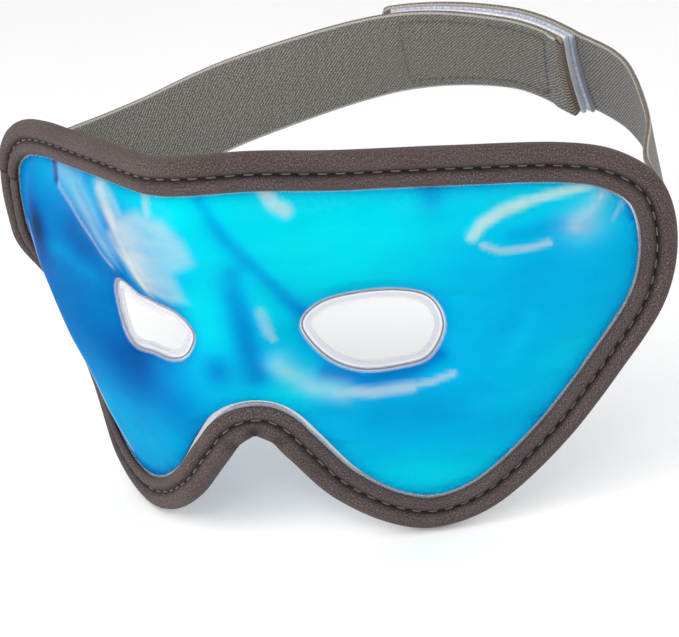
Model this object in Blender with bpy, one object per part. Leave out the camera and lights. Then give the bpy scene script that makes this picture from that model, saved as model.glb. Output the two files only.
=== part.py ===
"""Gel eye mask with an elastic head strap, bent as it stands ready to wear.

Blue gel is sealed between two clear films, with two welded eye openings and a notch for the nose. A
fabric binding is sewn round the edge, and two elastic strap halves close behind the head with hook and
loop tape. Lengths are in millimetres until a mesh is made. The origin is where the mask's back rests
on the bridge of the nose: +X runs to the wearer's left, +Y back through the head, +Z up.
"""
import math

import bmesh
import bpy
from mathutils import Vector
from mathutils.geometry import delaunay_2d_cdt

MM = 0.001
GAP = 0.3                    # between pieces that touch
SHARP_ANGLE = math.radians(35)

# The mask's flat pattern: u runs from the nose line outwards, v up from the middle of the eyes.
HALF_OUTLINE = [(0, 54.5), (28, 52), (56, 50), (84, 47.5), (99, 43), (109, 34), (112.5, 19), (109.5, 2),
                (99, -15), (82.5, -36.5), (64, -53), (47.5, -58.5), (33, -55), (19, -45), (9, -32.5),
                (4, -26), (0, -24)]
# Weld lines round the eye openings, the wearer's left one first. The bend squeezes the right one.
EYE_WELD_KNOTS = [
    [(15, 6.5), (20, 12.4), (30, 14.2), (41, 13.6), (48.8, 10.2), (51.7, 2), (47.5, -6.3), (39.5, -8.4),
     (29, -8), (20.5, -3)],
    [(-48.8, 6), (-46.8, 11.2), (-42.5, 12), (-36, 10.8), (-27, 11.4), (-18.1, 11), (-13, 6),
     (-15.5, -0.3), (-21, -3.5), (-31, -5), (-41, -6.7), (-46.5, -3.5)],
]
OUTLINE_POINTS = 84
EYE_POINTS = 26
CURVE_STEPS = 20             # per side of a drawn outline
GRID = 10.0                  # spacing of the points inside the pattern
GRID_COLUMNS = 10            # to each side of the nose line
GRID_ROWS = 6                # above and below the middle of the eyes
GRID_CLEARANCE = 4.5         # from a point to the gel's edge

# How the mask is bent: two nearly flat wings joined by an arc over the nose.
WING_ANGLE = math.radians(30)
FOLD_AT = -12.0
FOLD_REACH = 14.0

# The low edge of the wearer's right wing rolls back: the pattern direction out across that edge, how far
# it moves out and back, and the start and reach of each movement across the edge and along it.
LOW_EDGE = (-0.770, -0.638)
ROLL_OUT = 4.0
ROLL_OUT_FROM = (60.0, 20.0)
ROLL_BACK = 8.0
ROLL_BACK_FROM = (65.0, 22.0)
ROLL_ALONG_FROM = (-76.0, 17.0)
ROLL_FADES = 0.8             # how far the roll has gone again round the lower lobe
ROLL_FADES_FROM = (-34.0, 40.0)

# Gel pack
FILM = 0.4
FILM_INSET = 2.0             # the films' edge, inside the binding
WELD_INSET = 9.8             # the outer weld line
WELD_FLANGE = 2.5            # the welded rim inside an eye's weld line
GEL_CLEARANCE = 1.5          # gel edge to weld line
GEL_HALF = 4.2               # half the pack's thickness where it is full
GEL_RISE = 7.0               # distance over which it fills

# Binding: half of its folded section, as distance in from the free edge and height off the mid surface
BINDING_HALF = [(1.4, 0.95), (5.2, 0.95), (9.4, 0.95), (9.4, 1.75), (7.6, 2.5), (5.2, 1.75), (2.8, 2.9),
                (0.6, 2.2), (-0.3, 0.0)]
GROOVE_INSET = 5.2
GROOVE_HEIGHT = 1.75
BINDING_THREAD_RADIUS = 0.35

# Strap: x, y and z of the middle line of the closed loop, and how far its top leans out, in degrees. It
# starts and ends at the roots, behind the binding of each wing.
ROOT = (110.0, 18.5)         # on the pattern
ROOT_HEIGHT = -5.5           # off the mask's mid surface
LOOP = [(-89.5, 70, 16.5, 5), (-78.5, 91, 18.5, 9), (-55, 114, 27, 3), (-13, 138, 37, -11),
        (24, 144, 37.5, -22), (48.5, 140, 31, -18), (66, 125.5, 28, -13), (79.5, 100, 21.5, -11),
        (88, 78, 18, -17)]
LOOP_STEPS = 12              # samples between two of its points
STRAP_WIDTH = 28.0
STRAP_THICKNESS = 1.5
STRAP_OFFSET = 2.6           # each half's middle to the closed loop's middle, where they overlap
OFFSET_REACH = 60.0          # distance from the root over which a half takes its place
RIGHT_END_AT = 133.0         # along the loop, from the left root
TAB_END_AT = 195.3
TAB_SLANT = 0.26             # of the tab's end, from square
SLANT_REACH = 14.0           # distance along the strap over which its weave slants so
SEAM_SPLIT = 0.6             # between the left half and its tab, at the first seam
STATION = 5.0                # spacing of a strap's sections
RIBBON_COLUMNS = 4           # faces across a strap or tape
HEM = 6.5
HEM_DEPTH = 1.3
HEM_STEP = 0.1               # length of the step up to the hem
TAPE_WIDTH = 24.0
TAPE_THICKNESS = 1.4
TAPE_MARGIN = 3.0            # tape edge to strap end
LOOP_TAPE_PAST = 2.0         # loop tape beyond the tab's end
THREAD_RADIUS = 0.3
SEAM_MARGIN = 2.0            # seam to tape edge
TACK_ROWS = 8
TACK_REACH = (3.0, 6.0)      # from the root


def smooth_loop(points, count, band=0.0):
    """Samples of the smooth closed curve through the points, evenly spaced for a band inside it."""
    n = len(points)
    dense = []
    for i in range(n):
        a, b, c, d = (Vector(points[(i + k) % n]) for k in (-1, 0, 1, 2))
        for step in range(CURVE_STEPS):
            dense.append(spline_point(a, b, c, d, step / CURVE_STEPS))
    inner = inset(dense, band)
    lengths = [0.0]
    for i in range(len(dense)):
        j = (i + 1) % len(dense)
        lengths.append(lengths[-1] + (dense[j] - dense[i]).length + (inner[j] - inner[i]).length)
    dense.append(dense[0])
    samples = []
    i = 0
    for k in range(count):
        at = lengths[-1] * k / count
        while lengths[i + 1] < at:
            i += 1
        samples.append(dense[i].lerp(dense[i + 1], (at - lengths[i]) / (lengths[i + 1] - lengths[i])))
    return samples


def spline_point(a, b, c, d, t):
    """Catmull-Rom point between b and c."""
    return 0.5 * (2 * b + (c - a) * t + (2 * a - 5 * b + 4 * c - d) * t ** 2
                  + (3 * b - a - 3 * c + d) * t ** 3)


def inset(loop, distance):
    """The clockwise closed loop moved inwards by the distance, or outwards where it is negative."""
    moved = []
    n = len(loop)
    for i, point in enumerate(loop):
        along = (loop[(i + 1) % n] - loop[i - 1]).normalized()
        moved.append(point + Vector((along.y, -along.x)) * distance)
    return moved


def is_inside(loop, point):
    inside = False
    for a, b in zip(loop, loop[1:] + loop[:1]):
        if (a.y > point.y) != (b.y > point.y):
            if point.x < a.x + (point.y - a.y) * (b.x - a.x) / (b.y - a.y):
                inside = not inside
    return inside


def distance_to(loop, point):
    nearest = math.inf
    for a, b in zip(loop, loop[1:] + loop[:1]):
        ab = b - a
        t = max(0.0, min(1.0, (point - a).dot(ab) / ab.length_squared))
        nearest = min(nearest, (point - a - ab * t).length)
    return nearest


def pattern_outline():
    left = [(-u, v) for u, v in reversed(HALF_OUTLINE[1:-1])]
    return smooth_loop(HALF_OUTLINE + left, OUTLINE_POINTS, WELD_INSET)


def smooth_step(value, start, reach):
    t = max(0.0, min(1.0, (value - start) / reach))
    return t * t * (3 - 2 * t)


def rolled(u, v, height):
    """A pattern point once the low edge of the wearer's right wing has rolled back."""
    across = u * LOW_EDGE[0] + v * LOW_EDGE[1]
    along = v * LOW_EDGE[0] - u * LOW_EDGE[1]
    share = smooth_step(along, *ROLL_ALONG_FROM) * (1 - ROLL_FADES * smooth_step(along, *ROLL_FADES_FROM))
    out = share * ROLL_OUT * smooth_step(across, *ROLL_OUT_FROM)
    back = share * ROLL_BACK * smooth_step(across, *ROLL_BACK_FROM)
    return u + LOW_EDGE[0] * out, v + LOW_EDGE[1] * out, height - back


def plan_point(u):
    """Place on the mask's bend, seen from above, and the angle it has turned there."""
    s = u - FOLD_AT
    radius = FOLD_REACH / WING_ANGLE
    bent = min(abs(s), FOLD_REACH)
    straight = abs(s) - bent
    x = radius * math.sin(bent / radius) + straight * math.cos(WING_ANGLE)
    y = radius * (1 - math.cos(bent / radius)) + straight * math.sin(WING_ANGLE)
    return math.copysign(x, s), y, math.copysign(bent / radius, s)


def mask_point(u, v, height):
    """Pattern point (u, v) at a height off the mid surface, positive to the front."""
    u, v, height = rolled(u, v, height)
    x, y, turn = plan_point(u)
    x0, y0, turn0 = plan_point(0)
    seat = pack_half_at_seat() + FILM
    return Vector((x - x0 + height * math.sin(turn) + seat * math.sin(turn0),
                   y - y0 - height * math.cos(turn) - seat * math.cos(turn0), v))


def pack_half(distance):
    """Mid surface to a film's inner face, at a distance from the nearest weld."""
    return GAP / 2 + GEL_HALF * (1 - math.exp(-max(distance, 0.0) / GEL_RISE))


def pack_half_at_seat():
    return pack_half(weld_distance(Vector((0, 0))))


def weld_distance(point):
    """Distance inside the welds, 0 on them and in the margins outside."""
    if not is_inside(WELD_LOOP, point) or any(is_inside(loop, point) for loop in EYE_WELDS):
        return 0.0
    return min(distance_to(loop, point) for loop in [WELD_LOOP] + EYE_WELDS)


OUTLINE = pattern_outline()
WELD_LOOP = inset(OUTLINE, WELD_INSET)
GEL_LOOP = inset(OUTLINE, WELD_INSET + GEL_CLEARANCE)
EYE_WELDS = [smooth_loop(knots, EYE_POINTS) for knots in EYE_WELD_KNOTS]
EYES = [inset(weld, WELD_FLANGE) for weld in EYE_WELDS]
EYE_GELS = [inset(weld, -GEL_CLEARANCE) for weld in EYE_WELDS]


def pattern_mesh():
    """The pattern as flat triangles, with its edges, welds and gel edges as lines in the mesh."""
    margin = [inset(OUTLINE, distance) for distance in (FILM_INSET, GROOVE_INSET)]
    rings = margin + [WELD_LOOP, GEL_LOOP] + EYES + EYE_WELDS + EYE_GELS
    points = []
    edges = []
    for ring in rings:
        first = len(points)
        points += ring
        edges += [(first + i, first + (i + 1) % len(ring)) for i in range(len(ring))]
    for i in range(-GRID_COLUMNS, GRID_COLUMNS + 1):
        for j in range(-GRID_ROWS, GRID_ROWS + 1):
            point = Vector((i * GRID, (j + 0.5 * (i % 2)) * GRID))
            clear = all(distance_to(loop, point) > GRID_CLEARANCE for loop in [GEL_LOOP] + EYE_GELS)
            if clear and is_inside(GEL_LOOP, point) and not any(is_inside(eye, point) for eye in EYE_GELS):
                points.append(point)
    points, _, faces, *_ = delaunay_2d_cdt(points, edges, [], 0, 0.001)
    kept = []
    for face in faces:
        centre = sum((points[i] for i in face), Vector((0, 0))) / 3
        if is_inside(rings[0], centre) and not any(is_inside(eye, centre) for eye in EYES):
            kept.append(face)
    return points, kept


def to_object(name, bm, material):
    bmesh.ops.scale(bm, vec=(MM, MM, MM), verts=bm.verts)
    bmesh.ops.recalc_face_normals(bm, faces=bm.faces)
    mesh = bpy.data.meshes.new(name)
    bm.to_mesh(mesh)
    bm.free()
    mesh.shade_smooth()
    mesh.set_sharp_from_angle(angle=SHARP_ANGLE)
    obj = bpy.data.objects.new(name, mesh)
    obj.data.materials.append(material)
    PARTS.objects.link(obj)
    return obj


def sheet(name, points, faces, front, back, material):
    """A closed sheet over the pattern's triangles, between two heights given for each point."""
    bm = bmesh.new()
    used = sorted({i for face in faces for i in face})
    layers = []
    for height in (front, back):
        layers.append({i: bm.verts.new(mask_point(*points[i], height(points[i]))) for i in used})
    sides = {}
    for face in faces:
        bm.faces.new([layers[0][i] for i in face])
        bm.faces.new([layers[1][i] for i in reversed(face)])
        for i, j in zip(face, face[1:] + face[:1]):
            if (j, i) in sides:
                del sides[(j, i)]
            else:
                sides[(i, j)] = True
    for i, j in sides:
        bm.faces.new([layers[0][j], layers[0][i], layers[1][i], layers[1][j]])
    return to_object(name, bm, material)


def loft(name, sections, material, closed=False):
    """A solid through rings of points, each with the same number of points."""
    bm = bmesh.new()
    rings = [[bm.verts.new(point) for point in section] for section in sections]
    pairs = list(zip(rings, rings[1:]))
    if closed:
        pairs.append((rings[-1], rings[0]))
    else:
        bm.faces.new(rings[0])
        bm.faces.new(rings[-1])
    for a, b in pairs:
        for i in range(len(a)):
            bm.faces.new([a[i - 1], a[i], b[i], b[i - 1]])
    return to_object(name, bm, material)


def thread(name, points, radius, material, cyclic=True):
    """A thread laid along the points."""
    curve = bpy.data.curves.new(name, 'CURVE')
    curve.dimensions = '3D'
    curve.bevel_depth = radius * MM
    curve.bevel_resolution = 1
    curve.use_fill_caps = not cyclic
    spline = curve.splines.new('POLY')
    spline.points.add(len(points) - 1)
    for place, point in zip(spline.points, points):
        place.co = (*(point * MM), 1)
    spline.use_cyclic_u = cyclic
    curve.materials.append(material)
    obj = bpy.data.objects.new(name, curve)
    PARTS.objects.link(obj)
    return obj


def loop_samples():
    """Distance from the left root, point, up vector and outward vector, along the closed strap loop."""
    roots = [Vector((*mask_point(side * ROOT[0], ROOT[1], ROOT_HEIGHT), 0)) for side in (-1, 1)]
    knots = [roots[0]] + [Vector(knot) for knot in LOOP] + [roots[1]]
    knots = [2 * knots[0] - knots[1]] + knots + [2 * knots[-1] - knots[-2]]
    samples = []
    for i in range(1, len(knots) - 2):
        for step in range(LOOP_STEPS):
            samples.append(spline_point(*knots[i - 1:i + 3], step / LOOP_STEPS))
    samples.append(knots[-2])
    frames = []
    distance = 0.0
    for i, sample in enumerate(samples):
        point = Vector(sample[:3])
        ahead = Vector(samples[min(i + 1, len(samples) - 1)][:3])
        along = (ahead - Vector(samples[max(i - 1, 0)][:3])).normalized()
        level = Vector((-along.y, along.x, 0)).normalized()
        rise = level.cross(along).normalized()
        rise *= math.copysign(1, rise.z)
        lean = math.radians(sample[3])
        up = rise * math.cos(lean) + level * math.sin(lean)
        out = level * math.cos(lean) - rise * math.sin(lean)
        if frames:
            distance += (point - frames[-1][1]).length
        frames.append((distance, point, up, out))
    return frames


def loop_frame(at):
    """Point, up and outward vectors on the loop at a distance from the left root."""
    for a, b in zip(FRAMES, FRAMES[1:]):
        if at <= b[0]:
            break
    t = (at - a[0]) / (b[0] - a[0])
    return a[1].lerp(b[1], t), a[2].lerp(b[2], t).normalized(), a[3].lerp(b[3], t).normalized()


def strap_point(at, across, out):
    """Point on the strap loop: across its width, and out from its middle surface."""
    at -= across * TAB_SLANT * math.exp(-((at - TAB_END_AT) / SLANT_REACH) ** 2)
    point, up, outward = loop_frame(at)
    return point + up * across + outward * out


def stations(start, end):
    count = max(1, round((end - start) / STATION))
    return [start + (end - start) * i / count for i in range(count + 1)]


def offset_from_root(distance):
    return STRAP_OFFSET * smooth_step(distance, 0.0, OFFSET_REACH)


def ribbon(name, places, width, inner, outer, material):
    """A flat band along the loop, between an inner and an outer distance given for each place."""
    sections = []
    for at in places:
        across = [width * (i / RIBBON_COLUMNS - 0.5) for i in range(RIBBON_COLUMNS + 1)]
        ring = [strap_point(at, side, inner(at)) for side in across]
        ring += [strap_point(at, side, outer(at)) for side in reversed(across)]
        sections.append(ring)
    return loft(name, sections, material)


def make_gel_pack():
    points, faces = pattern_mesh()
    heights = {}
    for point in points:
        heights[tuple(point)] = pack_half(weld_distance(point))

    def film_inner(point):
        return heights[tuple(point)]

    gel_faces = []
    for face in faces:
        centre = sum((points[i] for i in face), Vector((0, 0))) / 3
        if is_inside(GEL_LOOP, centre) and not any(is_inside(eye, centre) for eye in EYE_GELS):
            gel_faces.append(face)
    clear = material('clear_film', (0.75, 0.93, 0.98), 0.12)
    sheet('front_film', points, faces, lambda p: film_inner(p) + FILM, film_inner, clear)
    sheet('rear_film', points, faces, lambda p: -film_inner(p), lambda p: -film_inner(p) - FILM, clear)
    sheet('gel_fill', points, gel_faces, lambda p: film_inner(p) - GAP, lambda p: GAP - film_inner(p),
          material('blue_gel', (0.0, 0.42, 0.75), 0.2))


def make_binding():
    """The edge binding, folded over the films' edge, and the two threads of its seam."""
    half = BINDING_HALF
    section = half + [(distance, -height) for distance, height in reversed(half[:-1])]
    rings = []
    for distance, height in section:
        rings.append([mask_point(*point, height) for point in inset(OUTLINE, distance)])
    loft('binding', list(zip(*rings)), material('binding_fabric', (0.12, 0.095, 0.09), 0.95), closed=True)
    groove = inset(OUTLINE, GROOVE_INSET)
    height = GROOVE_HEIGHT + GAP + BINDING_THREAD_RADIUS
    thread_material = material('binding_thread', (0.16, 0.14, 0.13), 0.7)
    for name, side in (('binding_needle_thread', 1), ('binding_bobbin_thread', -1)):
        thread(name, [mask_point(*point, side * height) for point in groove], BINDING_THREAD_RADIUS,
               thread_material)


def make_straps():
    elastic = material('strap_elastic', (0.19, 0.18, 0.16), 0.9)
    half = STRAP_THICKNESS / 2
    right_root = FRAMES[-1][0]
    seam_at = RIGHT_END_AT

    def left(side):
        return lambda at: side * half - offset_from_root(at)

    def right(side):
        return lambda at: side * half + offset_from_root(right_root - at)

    ribbon('strap_left', stations(0, seam_at - SEAM_SPLIT / 2), STRAP_WIDTH, left(-1), left(1), elastic)
    hem_at = TAB_END_AT - HEM
    places = stations(seam_at + SEAM_SPLIT / 2, hem_at) + [hem_at + HEM_STEP, TAB_END_AT]
    ribbon('strap_left_tab', places, STRAP_WIDTH,
           lambda at: left(-1)(at) - (HEM_DEPTH if at > hem_at else 0), left(1), elastic)
    ribbon('strap_right', stations(RIGHT_END_AT, right_root), STRAP_WIDTH, right(-1), right(1), elastic)


def make_tapes():
    """Hook tape outside the left tab, loop tape inside the right half, meeting face to face."""
    start = RIGHT_END_AT + TAPE_MARGIN
    hook_end = TAB_END_AT - TAPE_MARGIN
    loop_end = TAB_END_AT + LOOP_TAPE_PAST
    inner_face = STRAP_OFFSET - STRAP_THICKNESS / 2 - GAP - TAPE_THICKNESS
    outer_face = inner_face + TAPE_THICKNESS
    ribbon('hook_tape', stations(start, hook_end), TAPE_WIDTH, lambda at: -outer_face, lambda at: -inner_face,
           material('hook_tape', (0.80, 0.80, 0.84), 0.6))
    ribbon('loop_tape', stations(start, loop_end), TAPE_WIDTH, lambda at: inner_face, lambda at: outer_face,
           material('loop_tape', (0.62, 0.62, 0.72), 1.0))
    out = STRAP_OFFSET + STRAP_THICKNESS / 2 + GAP + THREAD_RADIUS
    across = TAPE_WIDTH / 2 - SEAM_MARGIN
    sewing = material('tape_thread', (0.14, 0.13, 0.12), 0.7)
    hem_clear = TAB_END_AT - HEM - SEAM_MARGIN
    tape_clear = loop_end - SEAM_MARGIN
    for name, end, side in (('hook_tape_thread', hem_clear, -1), ('loop_tape_thread', tape_clear, 1)):
        row = stations(start + SEAM_MARGIN, end)
        path = [strap_point(at, across, side * out) for at in row]
        path += [strap_point(at, -across, side * out) for at in reversed(row)]
        thread(name, path, THREAD_RADIUS, sewing)


def make_root_tacks():
    """Zigzag tacks on the outside of each strap half, where it is sewn to the mask."""
    sewing = material('root_thread', (0.14, 0.13, 0.12), 0.7)
    reach = STRAP_WIDTH / 2 - SEAM_MARGIN
    for name, root, step in (('root_tack_left', 0.0, 1), ('root_tack_right', FRAMES[-1][0], -1)):
        path = []
        for row in range(TACK_ROWS + 1):
            across = reach * (2 * row / TACK_ROWS - 1)
            distance = TACK_REACH[row % 2]
            out = STRAP_THICKNESS / 2 + GAP + THREAD_RADIUS - step * offset_from_root(distance)
            path.append(strap_point(root + step * distance, across, out))
        thread(name, path, THREAD_RADIUS, sewing, cyclic=False)


def material(name, colour, roughness):
    found = bpy.data.materials.get(name)
    if found:
        return found
    made = bpy.data.materials.new(name)
    made.use_nodes = True
    made.diffuse_color = (*colour, 1)
    shader = made.node_tree.nodes['Principled BSDF']
    shader.inputs['Base Color'].default_value = (*colour, 1)
    shader.inputs['Roughness'].default_value = roughness
    shader.inputs['Metallic'].default_value = 0.0
    return made


for old in list(bpy.data.objects):
    bpy.data.objects.remove(old, do_unlink=True)
PARTS = bpy.data.collections.new('gel_eye_mask')
bpy.context.scene.collection.children.link(PARTS)
FRAMES = loop_samples()
make_gel_pack()
make_binding()
make_straps()
make_tapes()
make_root_tacks()
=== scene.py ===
"""Gel eye mask with a fabric binding and an elastic head strap: its finished look around the CAD frame.

Lengths are in millimetres until a mesh is made. The mask's flat pattern has u running out from the nose
line and v up from the middle of the eyes; the strap has a distance along its closed loop and a place
across its width.
"""
import math

import bpy
import numpy as np
from mathutils import Matrix, Vector, noise
from mathutils.geometry import delaunay_2d_cdt


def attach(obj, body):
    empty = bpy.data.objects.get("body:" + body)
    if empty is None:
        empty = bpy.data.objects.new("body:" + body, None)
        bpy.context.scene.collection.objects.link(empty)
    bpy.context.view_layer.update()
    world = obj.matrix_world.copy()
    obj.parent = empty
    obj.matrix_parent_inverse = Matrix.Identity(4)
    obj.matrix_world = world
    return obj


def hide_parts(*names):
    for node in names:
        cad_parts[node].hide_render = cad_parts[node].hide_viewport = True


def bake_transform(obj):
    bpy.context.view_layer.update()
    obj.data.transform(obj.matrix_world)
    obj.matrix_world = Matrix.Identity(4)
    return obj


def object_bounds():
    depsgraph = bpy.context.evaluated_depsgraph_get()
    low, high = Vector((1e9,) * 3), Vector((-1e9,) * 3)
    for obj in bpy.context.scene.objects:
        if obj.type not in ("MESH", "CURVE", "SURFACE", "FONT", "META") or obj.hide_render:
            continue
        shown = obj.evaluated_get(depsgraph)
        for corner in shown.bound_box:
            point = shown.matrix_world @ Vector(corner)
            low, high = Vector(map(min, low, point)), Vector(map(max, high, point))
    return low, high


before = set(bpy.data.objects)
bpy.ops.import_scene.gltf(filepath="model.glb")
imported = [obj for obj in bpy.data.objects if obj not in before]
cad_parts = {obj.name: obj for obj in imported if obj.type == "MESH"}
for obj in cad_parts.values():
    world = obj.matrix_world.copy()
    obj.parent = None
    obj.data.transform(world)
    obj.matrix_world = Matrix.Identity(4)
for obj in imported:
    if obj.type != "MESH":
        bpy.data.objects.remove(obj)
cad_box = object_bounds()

MM = 0.001

# ---- The part's driving sizes, as in its CAD source ----
# Half of the mask's outline, from the brow down to the nose notch, and the weld lines round the eye
# openings, the wearer's left one first
HALF_OUTLINE = [(0, 54.5), (28, 52), (56, 50), (84, 47.5), (99, 43), (109, 34), (112.5, 19), (109.5, 2),
                (99, -15), (82.5, -36.5), (64, -53), (47.5, -58.5), (33, -55), (19, -45), (9, -32.5),
                (4, -26), (0, -24)]
EYE_WELD_KNOTS = [
    [(15, 6.5), (20, 12.4), (30, 14.2), (41, 13.6), (48.8, 10.2), (51.7, 2), (47.5, -6.3), (39.5, -8.4),
     (29, -8), (20.5, -3)],
    [(-48.8, 6), (-46.8, 11.2), (-42.5, 12), (-36, 10.8), (-27, 11.4), (-18.1, 11), (-13, 6),
     (-15.5, -0.3), (-21, -3.5), (-31, -5), (-41, -6.7), (-46.5, -3.5)],
]
# Two nearly flat wings joined by an arc over the nose
WING_ANGLE = math.radians(30)
FOLD_AT = -12.0
FOLD_REACH = 14.0
# The low edge of the wearer's right wing rolls back: the direction out across that edge, how far it moves
# out and back, and the start and reach of each movement across the edge and along it
LOW_EDGE = (-0.770, -0.638)
ROLL_OUT, ROLL_OUT_FROM = 4.0, (60.0, 20.0)
ROLL_BACK, ROLL_BACK_FROM = 8.0, (65.0, 22.0)
ROLL_ALONG_FROM = (-76.0, 17.0)
ROLL_FADES, ROLL_FADES_FROM = 0.8, (-34.0, 40.0)

FILM_INSET = 2.0             # the films' edge, inside the binding
WELD_INSET = 9.8             # the outer weld line
WELD_FLANGE = 2.5            # the welded rim inside an eye's weld line
GEL_HALF = 4.2               # half the pack's thickness where it is full
GEL_RISE = 7.0               # distance over which it fills
GROOVE_INSET = 5.2           # the binding's seam
# Strap: x, y and z of the middle line of the closed loop, and how far its top leans out, in degrees
ROOT = (110.0, 18.5)         # on the pattern
ROOT_HEIGHT = -5.5           # off the mask's mid surface
LOOP = [(-89.5, 70, 16.5, 5), (-78.5, 91, 18.5, 9), (-55, 114, 27, 3), (-13, 138, 37, -11),
        (24, 144, 37.5, -22), (48.5, 140, 31, -18), (66, 125.5, 28, -13), (79.5, 100, 21.5, -11),
        (88, 78, 18, -17)]
STRAP_WIDTH = 28.0
STRAP_THICKNESS = 1.5
STRAP_OFFSET = 2.6           # each half's middle to the closed loop's middle, where they overlap
OFFSET_REACH = 60.0          # distance from the root over which a half takes its place
RIGHT_END_AT = 133.0         # along the loop, from the left root
TAB_END_AT = 195.3
TAB_SLANT = 0.26             # of the tab's end, from square
SLANT_REACH = 14.0           # distance along the strap over which its weave slants so
HEM = 6.5
TAPE_MARGIN = 3.0            # tape edge to strap end
LOOP_TAPE_PAST = 2.0         # loop tape beyond the tab's end

# ---- Sizes of the looks alone ----
CURVE_STEPS = 40             # per side of a drawn outline
OUTLINE_POINTS = 512
EYE_POINTS = 140
PATTERN_REACH = (116, 62)    # the grid's half width and half height
GRID = 1.1                   # spacing of the points inside the pattern
LOOP_STEPS = 40              # samples between two of the loop's points
SEAT_HEIGHT = 4.55           # mid surface to the back of the mask at the bridge of the nose
POOL_HEIGHT = 1.5            # swelling of the gel that has sunk to the rolled edge
POOL_AT = (68.0, -50.0)      # across that edge and along it
POOL_REACH = (14.0, 28.0)
POOL_RISE = 6.0              # distance from a weld over which it comes in
GEL_EDGE = 0.3               # from an eye's weld line to the gel
RIM_RINGS = (0, 0.45, 1.0, 1.8, WELD_FLANGE, WELD_FLANGE + GEL_EDGE)   # out from an eye opening
SWELL_ROUNDS = 60            # of smoothing, which rounds the pack where its edges meet
WAVE_RISE = 5.0              # distance from a weld over which the waves and creases come in
WAVE, RIPPLE, REAR_RIPPLE = 0.9, 0.25, 0.5
GEL_SKIN = 0.12              # the gel, out from the pack's swelling
FILM_GAP = 0.15              # the films' inner faces, out from it
FILM = 0.3
BEAD, BEAD_REACH = 0.35, 0.55   # melted bead along the cut edge of an eye opening
ROOT_REACH = 4.0             # strap inside the binding, past its root
ROOT_BEND = 34.0             # from a root along the strap to the second point given with that half's bend
TAB_BEND = 24.0              # past the tab's seam along the strap to the second point given with the tab's bend
HEM_DEPTH = 0.8
HEM_ROUND = 0.9              # length over which the hem's end thins
TAPE_WIDTH = 27.0
TAPE_THICKNESS = 1.5
HOOK_TAPE_PAST = 0.4         # hook tape beyond the tab's end
SEAM_ACROSS = 10.6           # the strap's middle to a tape's long seams
SEAM_MARGIN = 2.0            # a tape's cross seams to its ends
TACK_ACROSS = 12.0
TACK_REACH = (3.0, 6.0)      # from the root
TACK_ROWS = 8
BINDING_THREAD_RADIUS = 0.2
STRAP_THREAD_RADIUS = 0.26
TACK_THREAD_RADIUS = 0.3


# ---------------------------------------------------------------- pattern
def spline_point(a, b, c, d, t):
    return 0.5 * (2 * b + (c - a) * t + (2 * a - 5 * b + 4 * c - d) * t ** 2
                  + (3 * b - a - 3 * c + d) * t ** 3)


def inset(loop, distance):
    """The clockwise loop moved inwards; the distance may be one number or one for each point."""
    along = np.roll(loop, -1, 0) - np.roll(loop, 1, 0)
    along /= np.linalg.norm(along, axis=1)[:, None]
    return loop + np.stack([along[:, 1], -along[:, 0]], 1) * np.reshape(distance, (-1, 1))


def smooth_loop(knots, count, band=0.0):
    knots = np.array(knots, float)
    a, b, c, d = (np.roll(knots, -k, 0) for k in (-1, 0, 1, 2))
    steps = np.arange(CURVE_STEPS) / CURVE_STEPS
    dense = np.stack([spline_point(a, b, c, d, t) for t in steps], 1).reshape(-1, 2)
    inner = inset(dense, band)
    lengths = np.linalg.norm(np.roll(dense, -1, 0) - dense, axis=1)
    lengths += np.linalg.norm(np.roll(inner, -1, 0) - inner, axis=1)
    total = np.concatenate([[0], np.cumsum(lengths)])
    closed = np.vstack([dense, dense[:1]])
    at = total[-1] * np.arange(count) / count
    return np.stack([np.interp(at, total, closed[:, k]) for k in (0, 1)], 1)


def chunks(points, size=3000):
    return [points[i:i + size] for i in range(0, len(points), size)]


def is_inside(loop, points):
    a, b = loop, np.roll(loop, -1, 0)
    found = []
    for part in chunks(points):
        x, y = part[:, :1], part[:, 1:]
        spans = (a[:, 1] > y) != (b[:, 1] > y)
        rise = np.where(a[:, 1] == b[:, 1], 1, b[:, 1] - a[:, 1])
        left = x < a[:, 0] + (y - a[:, 1]) * (b[:, 0] - a[:, 0]) / rise
        found.append((spans & left).sum(1) % 2 == 1)
    return np.concatenate(found)


def distance_to(line, points, closed=True):
    a, b = (line, np.roll(line, -1, 0)) if closed else (line[:-1], line[1:])
    ab = b - a
    squared = np.maximum((ab ** 2).sum(1), 1e-9)
    found = []
    for part in chunks(points):
        ap = part[:, None] - a
        t = np.clip((ap * ab).sum(2) / squared, 0, 1)
        found.append(np.linalg.norm(ap - ab * t[..., None], axis=2).min(1))
    return np.concatenate(found)


def mirrored(knots):
    return [(-u, v) for u, v in reversed(knots)]


OUTLINE = smooth_loop(HALF_OUTLINE + mirrored(HALF_OUTLINE[1:-1]), OUTLINE_POINTS, WELD_INSET)
EYE_WELDS = [smooth_loop(knots, EYE_POINTS) for knots in EYE_WELD_KNOTS]
EYES = [inset(weld, WELD_FLANGE) for weld in EYE_WELDS]


def plan_point(u):
    s = u - FOLD_AT
    radius = FOLD_REACH / WING_ANGLE
    bent = np.minimum(np.abs(s), FOLD_REACH)
    straight = np.abs(s) - bent
    x = radius * np.sin(bent / radius) + straight * math.cos(WING_ANGLE)
    y = radius * (1 - np.cos(bent / radius)) + straight * math.sin(WING_ANGLE)
    return np.sign(s) * x, y, np.sign(s) * bent / radius


def smooth_step(value, start, reach):
    t = np.clip((value - start) / reach, 0, 1)
    return t * t * (3 - 2 * t)


def low_edge(uv):
    """Distances across and along the low edge of the wearer's right wing."""
    return uv[:, 0] * LOW_EDGE[0] + uv[:, 1] * LOW_EDGE[1], -uv[:, 0] * LOW_EDGE[1] + uv[:, 1] * LOW_EDGE[0]


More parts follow.
